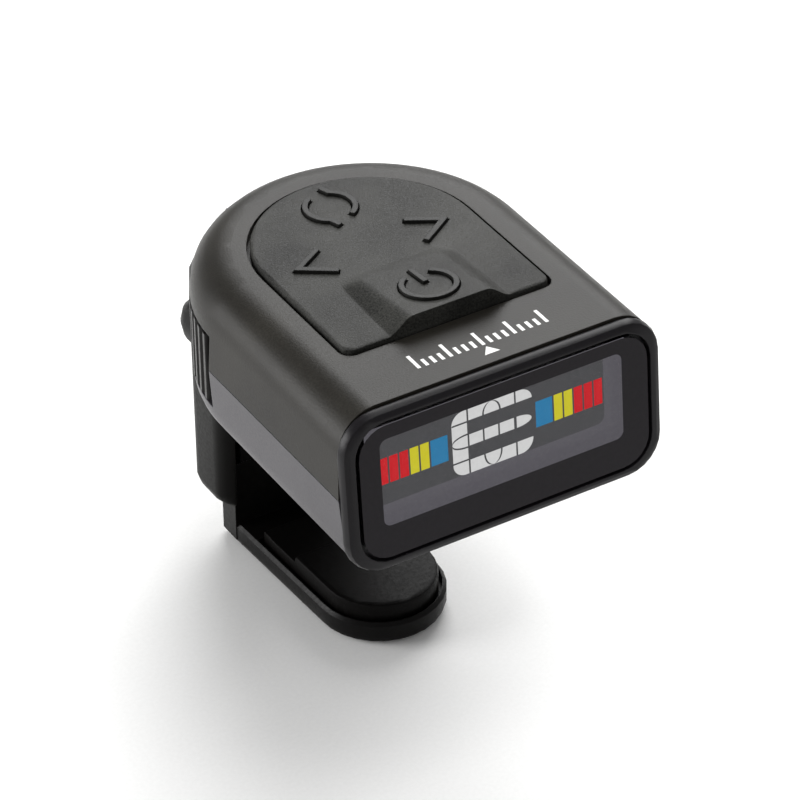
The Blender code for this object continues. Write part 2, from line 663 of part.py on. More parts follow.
def clamp_arm(finish):
    levels = [(0.7, 0.0), (0.2, 0.25), (0.0, 0.8), (0.0, FOOT_RIM_HEIGHT - 0.35), (0.3, FOOT_RIM_HEIGHT)]
    rings = [[(x, y, z) for x, y in foot_outline(inset)] for inset, z in levels]
    body = made_object("clamp_arm", loft_mesh(rings), finish, (0, ARM_FRONT + ARM_THICKNESS / 2, 0))
    plate_low = 0.6
    tongue_low, tongue_y = GUIDE_BOTTOM + 0.3, ARM_FRONT + 1.0
    join(
        body,
        box("arm_lower", (-ARM_HALF, ARM_FRONT, plate_low), (ARM_HALF, ARM_REAR, ARM_WIDE_TOP)),
        box("arm_upper", (-ARM_UPPER_HALF, ARM_FRONT + 0.02, ARM_WIDE_TOP - 1),
            (ARM_UPPER_HALF, ARM_REAR - 0.02, ARM_TOP)),
        box("arm_tongues", (-ARM_HALF - TONGUE_DEPTH, tongue_y, tongue_low),
            (ARM_HALF + TONGUE_DEPTH, tongue_y + TONGUE_WIDTH, ARM_WIDE_TOP - 0.05)),
        side_slab("rack", rack_outline(), TOOTH_HALF_WIDTH),
        slab("heel", [(-6.6, 15), (6.6, 15), (6.6, FOOT_REAR + 0.25), (-6.6, FOOT_REAR + 0.25)], 0.35, 1.4),
    )
    well = [(x, y) for x, y in foot_pad_outline(-0.35, FOOT_PAD_REAR + 0.35)]
    cut(body, slab("pad_well", well, FOOT_RIM_HEIGHT - 1.0, FOOT_RIM_HEIGHT + 1))
    return body


def rack_outline():
    """Saw teeth that let the arm rise past the pawl and stop it going down."""
    start, count = GUIDE_BOTTOM + 0.8, int((ARM_TOP - 0.6 - GUIDE_BOTTOM - 0.8) / TOOTH_PITCH)
    back = ARM_REAR
    points = [(back - 0.5, start), (back, start)]
    for i in range(count):
        z = start + i * TOOTH_PITCH
        points += [(back + TOOTH_DEPTH, z + 0.1), (back + TOOTH_DEPTH, z + 0.25)]
        points.append((back + 0.05, z + TOOTH_PITCH - 0.05))
    return points + [(back - 0.5, start + count * TOOTH_PITCH - 0.05)]


def foot_pad_outline(inset, rear):
    half = FOOT_FRONT_HALF - 0.75 - inset
    wide = half + 0.45
    points = [(wide, rear), (-wide, rear)]
    return points + arc(0, FOOT_FRONT_CENTRE, half, 180, 360, 14)


def foot_pad(finish):
    low = FOOT_RIM_HEIGHT - 0.9
    levels = [(0.0, low), (0.0, FOOT_PAD_TOP - 0.45), (0.12, FOOT_PAD_TOP - 0.13), (0.45, FOOT_PAD_TOP)]
    rings = [[(x, y, z) for x, y in foot_pad_outline(inset, FOOT_PAD_REAR - inset)] for inset, z in levels]
    body = made_object("foot_pad", loft_mesh(rings), finish)
    step = FOOT_PAD_TOP - FOOT_PAD_STEP
    cut(body, box("pad_step", (-9, FOOT_PAD_STEP_Y, step), (9, 12, 9)))
    cut(body, box("pad_notch_left", (-9, FOOT_PAD_STEP_Y, FOOT_RIM_HEIGHT - 0.5), (-5.9, 12, 9)))
    cut(body, box("pad_notch_right", (5.9, FOOT_PAD_STEP_Y, FOOT_RIM_HEIGHT - 0.5), (9, 12, 9)))
    return body


def release_lever(side, word, finish):
    """Ribbed thumb plate on the outside, an eye on the pin, and a tail that reaches the pawl's ear."""
    px, py = side * LEVER_PIVOT[0], LEVER_PIVOT[1]
    low = BASE_Z + LEVER_BOTTOM
    origin = (px, py, low)
    start, end = LEVER_ARC
    outer = HALF - 0.15
    ridge = (end - start) / RIB_COUNT
    points = []
    for i in range(RIB_COUNT):
        a = start + i * ridge
        valley = outer - RIB_DEPTH
        for turn, radius in ((0.08, valley), (0.28, outer), (0.62, outer), (0.82, valley)):
            t = math.radians(a + turn * ridge)
            points.append((radius * math.cos(t), radius * math.sin(t)))
    points += arc(0, 0, outer - LEVER_THICKNESS, end, start, 8)
    plate = [(side * x, y) for x, y in points]
    body = slab(f"release_lever_{word}", plate, low, low + LEVER_HEIGHT, finish, origin)
    tail_low = BASE_Z + LEVER_TAIL_BOTTOM
    tail_high = tail_low + LEVER_TAIL_HEIGHT
    web = [(14.3, 2.0), (14.0, 3.8), (12.6, 7.2), (10.6, 8.9), (9.3, 8.7)]
    web += [(8.9, 7.3), (9.9, 6.4), (12.6, 4.6), (13.0, 2.0)]
    tail = [(10.4, 8.4), (8.2, 11.9), (7.4, 14.0), (7.4, TAIL_TIP)]
    tail += [(6.55, TAIL_TIP), (6.55, 13.7), (7.35, 11.6), (9.4, 7.7)]
    join(
        body,
        slab(f"lever_web_{word}", [(side * x, y) for x, y in web], low + 0.02, low + 2.0),
        slab(f"lever_tail_{word}", [(side * x, y) for x, y in tail], tail_low, tail_high),
        round_bar(f"lever_eye_{word}", px, py, tail_low, low + 2.2, 1.3, steps=16),
    )
    cut(body, round_bar(f"lever_hole_{word}", px, py, BASE_Z, SEAM_Z, PIN_RADIUS + PIN_CLEARANCE, steps=12))
    return body


def pawl(finish):
    """Hangs from its pin behind the arm; its ears take the levers' push."""
    y, z = PAWL_AXIS
    origin = (0, y, z)
    tip_y = ARM_REAR + TOOTH_DEPTH + 0.1
    low = z - 12.6
    body = side_slab("pawl", [
        (EAR_FRONT + 0.2, z), (EAR_FRONT + 0.8, z), (EAR_FRONT + 0.8, low), (EAR_FRONT + 0.2, low),
        (tip_y, low + 1.4), (tip_y, low + 1.6), (EAR_FRONT + 0.2, low + 1.9),
    ], 2.0, finish, origin)
    ear = BASE_Z + LEVER_TAIL_BOTTOM + 0.2
    join(
        body,
        box("ears", (-8.0, EAR_FRONT, ear), (8.0, EAR_FRONT + 0.8, ear + LEVER_TAIL_HEIGHT - 0.4)),
        cross_bar("pawl_eye", 2.0 + 0.01, y, z, 0.8),
    )
    cut(body, cross_bar("pawl_bore", 4.0, y, z, PIN_RADIUS + PIN_CLEARANCE))
    return body


def coil(name, centre, axis, radius, wire, turns, pitch, finish):
    """A wire spring wound round an axis, from a poly spline."""
    count = turns * 10
    points = []
    for i in range(count + 1):
        a = 2 * math.pi * i / 10
        along = pitch * (i / 10 - turns / 2)
        c, s = radius * math.cos(a), radius * math.sin(a)
        local = (along, c, s) if axis == "X" else (c, s, along)
        points.append([(o + p) * MM for o, p in zip(centre, local)])
    curve = bpy.data.curves.new(name, "CURVE")
    curve.dimensions = "3D"
    curve.bevel_depth = wire / 2 * MM
    curve.bevel_resolution = 1
    curve.use_fill_caps = True
    spline = curve.splines.new("POLY")
    spline.points.add(count)
    for point, place in zip(spline.points, points):
        point.co = (*place, 1.0)
    obj = bpy.data.objects.new(name, curve)
    curve.materials.append(finish)
    PARTS.objects.link(obj)
    return obj


def screw(name, x, y, finish):
    low = BASE_Z + 0.35
    head_top = low + 0.9
    body = round_bar(name, x, y, low, head_top, HEAD_RADIUS, finish, 16, (x, y, low))
    join(body, round_bar(f"{name}_shank", x, y, head_top - 0.1, SEAM_Z + 3.4, SCREW_RADIUS, steps=10))
    for turn in (0, math.pi / 2):
        bm = box_mesh((-0.9, -0.18, -1), (0.9, 0.18, 0.5))
        bm.transform(Matrix.Translation((x, y, low)) @ Matrix.Rotation(turn, 4, "Z"))
        cut(body, made_object(f"{name}_slot_{round(turn)}", bm))
    return body


def electronics(board_finish, black, brass, steel, white, copper):
    half = BOARD_HALF
    plan = [(half, BOARD_FRONT), (half, 4.0), (6.5, BOARD_REAR)]
    plan += [(-x, y) for x, y in reversed(plan)]
    slab("circuit_board", plan, BOARD_Z, BOARD_Z + BOARD_THICKNESS, board_finish)
    top = BOARD_Z + BOARD_THICKNESS
    for name, (x, y) in KEY_PLACES.items():
        dome = f"{name.replace('key', 'switch')}"
        round_bar(dome, x, y, top + 0.05, top + 0.5, 2.0, steel, 20, top_radius=1.3)
    box("tuner_chip", (-2.8, -7.3, top + 0.05), (2.8, -2.7, top + 1.1), black)
    box("timing_crystal", (-8.8, -13.6, top + 0.05), (-5.8, -12.2, top + 0.8), steel)
    low = BOARD_Z - 0.05
    cell_top = BASE_Z + 2.1 + CELL_THICKNESS
    round_bar("battery_cell", 0, CELL_Y, BASE_Z + 2.1, cell_top, CELL_RADIUS, steel, 40)
    y = CELL_Y
    leaf = 0.25
    touch = cell_top + CLEAR
    leaf_outline = [(y + 6, low), (y + 6, low - leaf), (y + 1.2, touch + leaf), (y - 1.2, touch + leaf)]
    leaf_outline += [(y - 1.2, touch), (y + 1.4, touch), (y + 8, low - leaf), (y + 8, low)]
    side_slab("negative_contact", leaf_outline, 1.6, brass)
    rim = y - CELL_RADIUS - 0.3
    clip = [(rim - leaf, BASE_Z + 3.0), (rim, BASE_Z + 3.0), (rim, low - leaf)]
    clip += [(rim + 2.5, low - leaf), (rim + 2.5, low), (rim - leaf, low)]
    side_slab("positive_contact", clip, 2.0, brass)
    round_bar("piezo_disc", 0, PIEZO_Y, FLOOR_Z + 0.1, FLOOR_Z + 0.45, PIEZO_RADIUS, brass, 28)
    round_bar("piezo_ceramic", 0, PIEZO_Y, FLOOR_Z + 0.5, FLOOR_Z + 0.7, PIEZO_RADIUS - 0.9, white, 24)


def main():
    plastic = material("satin_black_abs", (0.035, 0.034, 0.033), 0.48)
    lower = material("satin_charcoal_abs", (0.045, 0.044, 0.046), 0.42)
    bezel = material("smooth_black_abs", (0.024, 0.022, 0.025), 0.36)
    rubber = material("black_silicone", (0.03, 0.03, 0.028), 0.7)
    nylon = material("black_nylon", (0.02, 0.019, 0.019), 0.5)
    clear = material("clear_acrylic", (0.08, 0.08, 0.09), 0.08, alpha=0.35)
    glass = material("lcd_glass", (0.09, 0.09, 0.1), 0.2)
    white = material("white_diffuser", (0.8, 0.8, 0.78), 0.5)
    steel = material("nickel_steel", (0.6, 0.6, 0.6), 0.3, 1.0)
    brass = material("tinned_brass", (0.65, 0.55, 0.3), 0.35, 1.0)
    green = material("circuit_board_green", (0.02, 0.14, 0.06), 0.45)
    copper = material("polyimide_ribbon", (0.45, 0.2, 0.05), 0.5)

    top_shell(plastic)
    bottom_shell(lower)
    battery_door(lower)
    seat_pad(rubber)
    display_parts(bezel, clear, glass, white, copper)
    keypad(rubber)
    for name in KEY_PLACES:
        key(name, rubber)
    clamp_arm(nylon)
    foot_pad(rubber)
    for side, word in ((-1, "left"), (1, "right")):
        release_lever(side, word, nylon)
        x, y = side * LEVER_PIVOT[0], LEVER_PIVOT[1]
        pin_low = FLOOR_Z + 0.1
        round_bar(f"lever_pin_{word}", x, y, pin_low, BOARD_Z - 0.4, PIN_RADIUS, steel, 12)
        spring_z = BASE_Z + LEVER_BOTTOM + 3.1
        coil(f"lever_spring_{word}", (x, y, spring_z), "Z", 0.95, 0.3, 3, 0.45, steel)
    pawl(nylon)
    y, z = PAWL_AXIS
    cross_bar("pawl_pin", 8.2, y, z, PIN_RADIUS, steel, middle=0.1)
    coil("pawl_spring", (3.6, y, z), "X", 0.72, 0.22, 3, 0.4, steel)
    for (x, y), name in zip(SCREW_PLACES, SCREW_NAMES):
        screw(name, x, y, steel)
    electronics(green, nylon, brass, steel, white, copper)


for leftover in list(bpy.data.objects):
    bpy.data.objects.remove(leftover)
PARTS = collection("clip_on_tuner")
CUTTERS = collection("cutters")
main()
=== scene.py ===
# %% [markdown]
# # A clip-on tuner
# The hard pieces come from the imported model: two moulded shells, a display bezel and lens,
# a rubber keypad, a clamp arm with its foot, and two release levers. This lesson gives each
# of them the finish of the real moulding and adds what is printed or lit: the display's
# segments, the black border on the lens and the scale on the lid.

# %% Load the frame
import math

import bmesh
import bpy
from mathutils import Matrix, Vector


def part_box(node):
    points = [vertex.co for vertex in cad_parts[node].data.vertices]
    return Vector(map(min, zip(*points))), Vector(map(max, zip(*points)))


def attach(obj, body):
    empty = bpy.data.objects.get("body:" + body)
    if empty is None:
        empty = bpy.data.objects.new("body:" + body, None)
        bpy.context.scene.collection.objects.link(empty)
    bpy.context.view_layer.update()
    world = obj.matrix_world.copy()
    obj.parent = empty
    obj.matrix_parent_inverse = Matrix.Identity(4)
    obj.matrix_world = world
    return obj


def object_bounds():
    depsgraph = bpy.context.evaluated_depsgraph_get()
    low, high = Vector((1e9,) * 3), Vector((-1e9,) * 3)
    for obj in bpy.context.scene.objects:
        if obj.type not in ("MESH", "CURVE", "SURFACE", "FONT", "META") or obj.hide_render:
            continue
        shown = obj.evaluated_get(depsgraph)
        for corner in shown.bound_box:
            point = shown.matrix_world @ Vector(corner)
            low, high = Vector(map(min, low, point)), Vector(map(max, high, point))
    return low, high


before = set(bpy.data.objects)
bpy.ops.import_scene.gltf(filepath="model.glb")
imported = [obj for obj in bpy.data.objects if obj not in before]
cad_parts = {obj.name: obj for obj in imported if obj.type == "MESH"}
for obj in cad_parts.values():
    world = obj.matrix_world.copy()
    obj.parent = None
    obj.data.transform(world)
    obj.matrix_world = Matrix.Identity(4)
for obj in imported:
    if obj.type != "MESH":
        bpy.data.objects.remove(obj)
cad_box = [list(map(float, corner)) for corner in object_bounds()]
MM = 0.001
print("nodes:", len(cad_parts), "box:", cad_box)

# %% [markdown]
# A colour is easiest to name as sRGB hex, as a paint chart does, while a shader works in
# linear light. One function turns the first into the second.


# %% Colour and node helpers
NOISE_LOW, NOISE_HIGH = 0.3, 0.7  # nearly all of a noise texture's values lie between these


def linear(hex_colour, alpha=1.0):
    """An sRGB hex colour as linear RGBA."""
    parts = [int(hex_colour[i : i + 2], 16) / 255 for i in (1, 3, 5)]
    return (*[c / 12.92 if c <= 0.04045 else ((c + 0.055) / 1.055) ** 2.4 for c in parts], alpha)


def add(tree, kind, inputs=None, **settings):
    """A node with its settings; an input takes a value or another node's output."""
    node = tree.nodes.new(kind)
    for name, value in settings.items():
        setattr(node, name, value)
    for name, value in (inputs or {}).items():
        if isinstance(value, bpy.types.NodeSocket):
            tree.links.new(value, node.inputs[name])
        else:
            node.inputs[name].default_value = value
    return node


def start_material(name, **sockets):
    """A new material, its tree, its Principled shader and the object's own coordinates."""
    made = bpy.data.materials.new(name)
    made.use_nodes = True
    tree = made.node_tree
    shader = tree.nodes["Principled BSDF"]
    for socket, value in sockets.items():
        shader.inputs[socket.replace("_", " ")].default_value = value
    place = add(tree, "ShaderNodeTexCoord").outputs["Object"]
    return made, tree, shader, place


def two_tone(tree, factor, dark, light, low=NOISE_LOW, high=NOISE_HIGH):
    """A colour that drifts between two hex colours as factor runs from low to high."""
    ramp = add(tree, "ShaderNodeValToRGB", {"Fac": factor})
    for stop, position, colour in zip(ramp.color_ramp.elements, (low, high), (dark, light)):
        stop.position, stop.color = position, linear(colour)
    return ramp.outputs["Color"]


print("helpers ready")

# %% [markdown]
# The shells are injection-moulded ABS. The mould was spark-eroded, so its skin has a fine
# pebbled grain that scatters the light into a soft sheen. Real grain is near 0.1 mm; it is
# drawn a little coarser, because a finer one would not show. A bump map suits it
# better than real geometry, since its depth is only a few micrometres. The Bevel node
# rounds each moulded edge by a tenth of a millimetre in the shading, as a real mould does.

# %% Moulded polymers
EDGE_ROUND = 0.12 * MM
GRAIN_DETAIL = 3.0
CLOUD_SIZE = 7 * MM  # broad patches from uneven cooling
CLOUD_LIFT = 0.22  # brings grain times cloud back to the middle of the ramp
MOTTLE = (NOISE_LOW, NOISE_HIGH)


def noise(tree, place, size, **inputs):
    """A noise texture whose features are about the given size."""
    return add(tree, "ShaderNodeTexNoise", {"Vector": place, "Scale": 1 / size, **inputs})


def moulded(name, dark, light, roughness, grain_mm, depth_mm, spread=0.06, mottle=MOTTLE, **sockets):
    """A moulded polymer: mottled colour, grainy gloss and a pebbled skin with soft edges."""
    made, tree, shader, place = start_material(name, **sockets)
    grain = noise(tree, place, grain_mm * MM, Detail=GRAIN_DETAIL)
    cloud = noise(tree, place, CLOUD_SIZE, Detail=2.0)
    factors = {0: grain.outputs["Fac"], 1: cloud.outputs["Fac"], 2: CLOUD_LIFT}
    blend = add(tree, "ShaderNodeMath", factors, operation="MULTIPLY_ADD")
    tree.links.new(two_tone(tree, blend.outputs[0], dark, light, *mottle), shader.inputs["Base Color"])
    gloss_range = {"From Min": NOISE_LOW, "From Max": NOISE_HIGH}
    gloss_range |= {"To Min": roughness - spread, "To Max": roughness + spread}
    gloss = add(tree, "ShaderNodeMapRange", {"Value": grain.outputs["Fac"], **gloss_range})
    tree.links.new(gloss.outputs["Result"], shader.inputs["Roughness"])
    edge = add(tree, "ShaderNodeBevel", {"Radius": EDGE_ROUND}, samples=4)
    heights = {"Height": grain.outputs["Fac"], "Normal": edge.outputs["Normal"]}
    bump = add(tree, "ShaderNodeBump", {**heights, "Strength": 1.0, "Distance": depth_mm * MM})
    tree.links.new(bump.outputs["Normal"], shader.inputs["Normal"])
    return made


def sheen(level):
    """The specular level, as the setting that moulded() and screen_ink() take."""
    return {"Specular_IOR_Level": level}


lid_abs = moulded("spark_eroded_abs_lid", "#181613", "#282621", 0.42, 0.17, 0.013, **sheen(0.18))
# The lower shell is drawn lighter than the lid: a painted sheen of the pale table's light on its side.
base_abs_painted_sheen = moulded("spark_eroded_abs_base_painted_sheen", "#363438", "#454347", 0.4, 0.17, 0.011, **sheen(0.33))
bezel_abs = moulded("polished_abs_bezel", "#110f12", "#151316", 0.34, 0.3, 0.003, 0.03, **sheen(0.16))
print("shell finishes:", lid_abs.name, base_abs_painted_sheen.name, bezel_abs.name)

# %% [markdown]
# The keypad and the jaw pads are silicone rubber, pressed in a blasted mould. Rubber is
# rougher than ABS, so it shows a broad, dull sheen and a stronger speckle. The arm and
# the levers are black nylon, which is a little waxy. The arm and the jaw pads are drawn
# blacker still: their own black with painted shade from the case that hangs over them.

# %% Rubber and nylon
SPECKLE = (0.34, 0.62)
pad_skin = {"roughness": 0.5, "grain_mm": 0.16, "depth_mm": 0.03, "spread": 0.12, "mottle": SPECKLE}
pad_silicone = moulded("blasted_silicone_keypad", "#0b0b0a", "#3a3a37", **pad_skin, **sheen(0.14))
key_silicone = moulded("blasted_silicone_mark", "#141413", "#242422", 0.46, 0.14, 0.014, **sheen(0.18))
# Nearly black: the rubber's and nylon's own black with painted shade from the case above.
jaw_rubber_painted_shade = moulded("moulded_rubber_pad_painted_shade", "#070606", "#0c0b0a", 0.42, 0.3, 0.01, 0.08, **sheen(0.06))
arm_nylon_painted_shade = moulded("glass_filled_nylon_arm_painted_shade", "#070606", "#0c0b0a", 0.36, 0.35, 0.009, 0.07, **sheen(0.1))
lever_nylon = moulded("satin_nylon_lever", "#141312", "#1c1a19", 0.36, 0.3, 0.008, **sheen(0.3))
print("soft finishes:", pad_silicone.name, jaw_rubber_painted_shade.name, arm_nylon_painted_shade.name)

# %% [markdown]
# The lens is a cast acrylic plate. Full refraction through so thin a plate only adds
# noise, so its body is nearly see-through and its face keeps the sharp gloss of acrylic.


# %% Lens, print and glass
PRINT_MESH = 0.35 * MM


def cast_acrylic():
    """A nearly see-through plate with a glossy face."""
    sockets = {"Alpha": 0.03, "Roughness": 0.09, **sheen(0.1)}
    made, tree, shader, place = start_material("cast_acrylic_lens", **sockets)
    haze = noise(tree, place, 3 * MM, Detail=1.0)
    tree.links.new(two_tone(tree, haze.outputs["Fac"], "#1a191b", "#201f21"), shader.inputs["Base Color"])
    return made


def screen_ink(name, dark, light, roughness=0.35, glow=0.0, **sockets):
    """A printed or backlit layer: an even coat with the faint mottling of a screen print."""
    made, tree, shader, place = start_material(name, Roughness=roughness, **sockets)
    mesh = noise(tree, place, PRINT_MESH, Detail=2.0)
    colour = two_tone(tree, mesh.outputs["Fac"], dark, light)
    unlit = two_tone(tree, mesh.outputs["Fac"], "#161617", "#1a1a1b")
    tree.links.new(unlit if glow else colour, shader.inputs["Base Color"])
    if glow:
        tree.links.new(colour, shader.inputs["Emission Color"])
        shader.inputs["Emission Strength"].default_value = glow
    return made


def lit_ink(name, dark, light, glow=0.95):
    """A layer of the liquid-crystal cell, lit from behind."""
    return screen_ink(name, dark, light, 0.3, glow, **sheen(0.05))


lens_acrylic = cast_acrylic()
border_ink = screen_ink("black_border_ink", "#19161a", "#1c191d", 0.36, **sheen(0.12))
scale_ink = screen_ink("white_pad_print", "#e8e8e6", "#f2f2f0", 0.45)
lcd_margin = lit_ink("lcd_polariser_margin", "#5c5a60", "#605e64", 0.9)
lcd_field = lit_ink("lcd_active_field", "#4a4a4c", "#4e4e50", 0.9)
segment_inks = {
    "red": lit_ink("lcd_red_segment", "#c81c24", "#cc2027"),
    "yellow": lit_ink("lcd_yellow_segment", "#ccc428", "#d0c82c"),
    "blue": lit_ink("lcd_blue_segment", "#2b78a6", "#2e7caa"),
    "grey": lit_ink("lcd_grey_segment", "#d4d4d4", "#d9d9d9"),
}
print("display finishes:", len(segment_inks) + 4)

# %% [markdown]
# The metal inside and in the screw heads is rolled or drawn, so its gloss varies along fine
# lines. Metals keep the default IOR, because their colour sits in the metallic reflection.


# %% Metals and inner parts
LINE_SIZE = 0.15 * MM
LINE_STRETCH = (1, 0.08, 1)
METAL_SPREAD = 0.08


def drawn_metal(name, dark, light, roughness):
    """A metal whose colour and gloss vary along the lines that rolling or drawing left."""
    made, tree, shader, place = start_material(name, Metallic=1.0)
    stretch = add(tree, "ShaderNodeMapping", {"Vector": place, "Scale": LINE_STRETCH})
    lines = noise(tree, stretch.outputs["Vector"], LINE_SIZE)
    tree.links.new(two_tone(tree, lines.outputs["Fac"], dark, light), shader.inputs["Base Color"])
    limits = {"To Min": roughness - METAL_SPREAD, "To Max": roughness + METAL_SPREAD}
    gloss = add(tree, "ShaderNodeMapRange", {"Value": lines.outputs["Fac"], **limits})
    tree.links.new(gloss.outputs["Result"], shader.inputs["Roughness"])
    return made


nickel = drawn_metal("nickel_plated_steel", "#b9b7b2", "#c9c7c2", 0.3)
screw_zinc = drawn_metal("black_zinc_screw", "#3a3938", "#4a4948", 0.36)
tinned_brass = drawn_metal("tinned_brass", "#b9a46c", "#cdb97e", 0.34)
solder_mask = moulded("green_solder_mask", "#12532e", "#186238", 0.34, 0.5, 0.004, IOR=1.5)
chip_epoxy = moulded("moulded_epoxy_chip", "#17171a", "#1e1e21", 0.5, 0.2, 0.006, IOR=1.55)
diffuser = moulded("white_acrylic_diffuser", "#e3e3df", "#ececea", 0.5, 0.4, 0.004, IOR=1.49)
polyimide = moulded("amber_polyimide_film", "#8a4f16", "#9b5d1f", 0.35, 0.6, 0.003, IOR=1.6)
print("inner finishes ready")

# %% [markdown]
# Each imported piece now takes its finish. Its mesh is a fine facet model, so it is shaded
# smooth except across real edges, which is how a moulded fillet looks.

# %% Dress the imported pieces
FINISHES = {
    "top_shell": lid_abs, "bottom_shell": base_abs_painted_sheen, "battery_door": base_abs_painted_sheen, "display_bezel": bezel_abs,
    "display_lens": lens_acrylic, "keypad": pad_silicone, "seat_pad": jaw_rubber_painted_shade, "foot_pad": jaw_rubber_painted_shade,
    "clamp_arm": arm_nylon_painted_shade, "release_lever_left": lever_nylon, "release_lever_right": lever_nylon,
    "pawl": lever_nylon, "lcd_panel": lcd_margin, "backlight_panel": diffuser, "display_ribbon": polyimide,
    "circuit_board": solder_mask, "tuner_chip": chip_epoxy, "piezo_ceramic": diffuser,
    "piezo_disc": tinned_brass, "negative_contact": tinned_brass, "positive_contact": tinned_brass,
}
SMOOTH_UNDER = math.radians(32)
WELD_WITHIN = 0.002 * MM
AREA_WEIGHT = 80


def finish_for(node):
    """The finish of a node, by its name or by the kind of part that it is."""
    if node in FINISHES:
        return FINISHES[node]
    if node.startswith("key_"):
        return key_silicone
    return screw_zinc if node.startswith("case_screw") else nickel


def smooth_facets(piece):
    """Joins the facets again, splits them at real edges only, and weights the normals by area."""
    if "custom_normal" in piece.data.attributes:
        piece.data.attributes.remove(piece.data.attributes["custom_normal"])
    piece.data.shade_smooth()
    weld = piece.modifiers.new("join facets", "WELD")
    weld.merge_threshold = WELD_WITHIN
    split = piece.modifiers.new("real edges", "EDGE_SPLIT")
    split.split_angle = SMOOTH_UNDER
    split.use_edge_sharp = False
    weighted = piece.modifiers.new("flat faces stay flat", "WEIGHTED_NORMAL")
    weighted.weight = AREA_WEIGHT


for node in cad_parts:
    piece = bpy.data.objects[node]
    piece.data.materials.clear()
    piece.data.materials.append(finish_for(node))
    smooth_facets(piece)
print("dressed", len(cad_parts), "pieces")

# %% [markdown]
# The clamp's upright is part of the lower moulding, but it is drawn darker and duller
# than the case above it. The faces that lie outside the case's round end, or below its
# floor, take that second, darker material.

# %% Second, darker material on the lower shell
OUTSIDE_BY = 0.05 * MM
# Darker and duller than the rest of the lower shell; the code sets only this colour and gloss.
darker_upright_abs = moulded("darker_abs_upright_and_underside", "#0a0908", "#11100f", 0.44, 0.3, 0.01, **sheen(0.1))
shell = bpy.data.objects["bottom_shell"]
shell.data.materials.append(darker_upright_abs)
case_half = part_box("top_shell")[1][0]
floor_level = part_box("battery_door")[0][2]
for face in shell.data.polygons:
    reach = math.hypot(face.center.x, face.center.y)
    outside = reach > case_half + OUTSIDE_BY and face.center.y > 0
    if outside or face.center.z < floor_level - OUTSIDE_BY:
        face.material_index = 1
print("upright faces:", sum(face.material_index for face in shell.data.polygons))

# %% [markdown]
# The display leans back a few degrees, so everything in it is drawn flat in its own plane:
# x to the right, y up the glass and z out of it. One matrix then puts that plane just in
# front of the display glass. Its centre is found from the lens's box and the lean.

# %% The display's plane
LEAN = math.radians(4.9)
LENS_THICKNESS = 0.8
low, high = (Vector(corner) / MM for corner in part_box("display_lens"))
lens_foot = low.z + LENS_THICKNESS * math.sin(LEAN)
half_tall = (high.z - lens_foot) / math.cos(LEAN) / 2
LENS_CENTRE = Vector((0, low.y + half_tall * math.sin(LEAN), lens_foot + half_tall * math.cos(LEAN)))
DISPLAY = Matrix.Translation(LENS_CENTRE) @ Matrix.Rotation(math.pi / 2 - LEAN, 4, "X")
print("lens centre mm:", [round(c, 3) for c in LENS_CENTRE], "half height:", round(half_tall, 3))


def put(name, bm, place, finish, body="case"):
    """An object from a mesh in millimetres, moved by a matrix, that rides on a body."""
    bmesh.ops.recalc_face_normals(bm, faces=bm.faces)
    bm.transform(Matrix.Scale(MM, 4) @ place)
    mesh = bpy.data.meshes.new(name)
    bm.to_mesh(mesh)
    bm.free()
    mesh.materials.append(finish)
    obj = bpy.data.objects.new(name, mesh)
    bpy.context.scene.collection.objects.link(obj)
    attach(obj, body)
    return obj


def plate(bm, outline, low_z, high_z):
    """Adds a flat plate with the given outline between two heights."""
    face = bm.faces.new([bm.verts.new((x, y, low_z)) for x, y in outline])
    grown = bmesh.ops.extrude_face_region(bm, geom=[face])["geom"]
    raised = [part for part in grown if isinstance(part, bmesh.types.BMVert)]
    bmesh.ops.translate(bm, verts=raised, vec=(0, 0, high_z - low_z))


def round_rectangle(x0, y0, x1, y1, radii, steps=6):
    """Corners counter-clockwise from the lower left, each with its own radius."""
    points = []
    corners = ((x0, y0, 1, 1, 180), (x1, y0, -1, 1, 270), (x1, y1, -1, -1, 0), (x0, y1, 1, -1, 90))
    for (x, y, sx, sy, start), radius in zip(corners, radii):
        if not radius:
            points.append((x, y))
            continue
        for i in range(steps + 1):
            a = math.radians(start + 90 * i / steps)
            points.append((x + sx * radius + radius * math.cos(a), y + sy * radius + radius * math.sin(a)))
    return points


# %% [markdown]
# The lens has a black printed border with a window in it. On the real lens the ink may lie
# on either face; here it is a coat of 0.01 mm on the front, so that it stays even.

# %% Black border on the lens
LENS_HALF = (high.x - low.x) / 2
WINDOW = (-12.4, -3.4, 11.8, 5.2)
WINDOW_ROUND = 0.75
INK_BACK, INK_FRONT = 0.01, 0.02
BORDER_MARGIN = 0.02
BORDER_ROUND = 2.7 - BORDER_MARGIN


def frame_plate(bm, outer, inner, low_z, high_z):
    """A flat ring between two outlines of equally many points."""
    loops = [[bm.verts.new((x, y, z)) for x, y in line] for line in (outer, inner) for z in (low_z, high_z)]
    outer_low, outer_high, inner_low, inner_high = loops
    strips = [(outer_low, outer_high), (inner_high, inner_low)]
    strips += [(outer_high, inner_high), (inner_low, outer_low)]
    for i in range(len(outer)):
        j = (i + 1) % len(outer)
        for a, b in strips:
            bm.faces.new((a[i], a[j], b[j], b[i]))


bm = bmesh.new()
edge_x, edge_y = LENS_HALF - BORDER_MARGIN, half_tall - BORDER_MARGIN
outer = round_rectangle(-edge_x, -edge_y, edge_x, edge_y, [BORDER_ROUND] * 4)
inner = round_rectangle(*WINDOW, [WINDOW_ROUND] * 4)
frame_plate(bm, outer, inner, INK_BACK, INK_FRONT)
put("lens_border_print", bm, DISPLAY, border_ink)
print("window mm:", WINDOW)

# %% [markdown]
# The liquid-crystal cell shows a darker active field inside its paler margin, and on it the
# lit segments: a row of red, yellow and blue bars on each side for flat and sharp, and a
# segmented note figure in the middle. Each segment is a thin plate with a crisp edge, since
# a texture would blur at this size.

